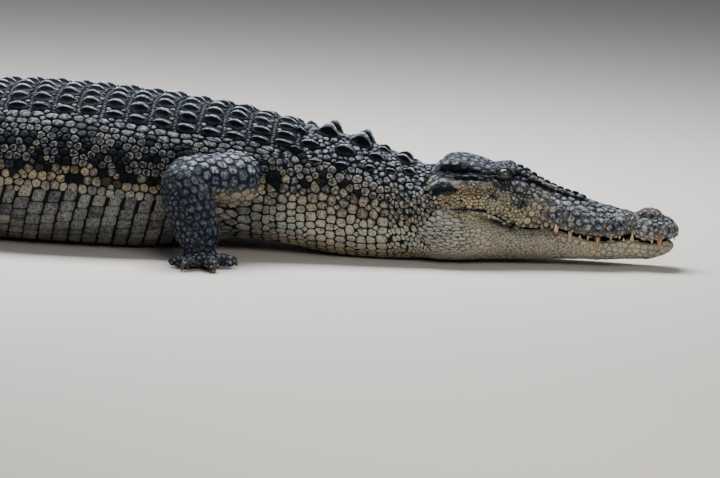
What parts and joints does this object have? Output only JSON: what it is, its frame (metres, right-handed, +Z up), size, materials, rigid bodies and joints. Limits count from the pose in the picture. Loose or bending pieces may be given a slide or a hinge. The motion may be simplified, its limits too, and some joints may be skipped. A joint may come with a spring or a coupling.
{
  "type": "saltwater crocodile",
  "caption": "Life-size crocodile at rest on its belly, chest propped on its forelegs, jaws just apart, keeled back and a long crested tail laid in a gentle curve.",
  "frame": {"origin": "on the floor under the middle of the whole animal", "axes": "+X from tail to snout, +Y to the animal's left, +Z up"},
  "size_m": [4.1542, 1.1136, 0.3762],
  "materials": {
    "head_skin": "horny bumpy skin, dark blue-grey above and golden tan on the cheeks",
    "jaw_skin": "pale finely wrinkled skin",
    "body_skin": "keeled shields above, cream-ringed flank scales, pale belly scales",
    "limb_skin": "dark blue-grey plates with pale edges",
    "eye": "wet, dull olive green",
    "claw_horn": "dark horn"
  },
  "bodies": {
    "root": {"head": "head_skin", "lower_jaw": "jaw_skin", "eye_left": "eye", "eye_right": "eye", "neck": "body_skin", "trunk": "body_skin", "tail_1": "body_skin", "tail_2": "body_skin", "tail_3": "body_skin", "tail_4": "body_skin", "tail_5": "body_skin", "tail_6": "body_skin", "fore_right_upper_arm": "limb_skin", "fore_right_forearm": "limb_skin", "fore_right_hand": "limb_skin", "claw_fore_right_1": "claw_horn", "claw_fore_right_2": "claw_horn", "claw_fore_right_3": "claw_horn", "hind_right_thigh": "limb_skin", "hind_right_shank": "limb_skin", "hind_right_foot": "limb_skin", "claw_hind_right_1": "claw_horn", "claw_hind_right_2": "claw_horn", "claw_hind_right_3": "claw_horn", "fore_left_upper_arm": "limb_skin", "fore_left_forearm": "limb_skin", "fore_left_hand": "limb_skin", "claw_fore_left_1": "claw_horn", "claw_fore_left_2": "claw_horn", "claw_fore_left_3": "claw_horn", "hind_left_thigh": "limb_skin", "hind_left_shank": "limb_skin", "hind_left_foot": "limb_skin", "claw_hind_left_1": "claw_horn", "claw_hind_left_2": "claw_horn", "claw_hind_left_3": "claw_horn"}
  },
  "joints": []
}
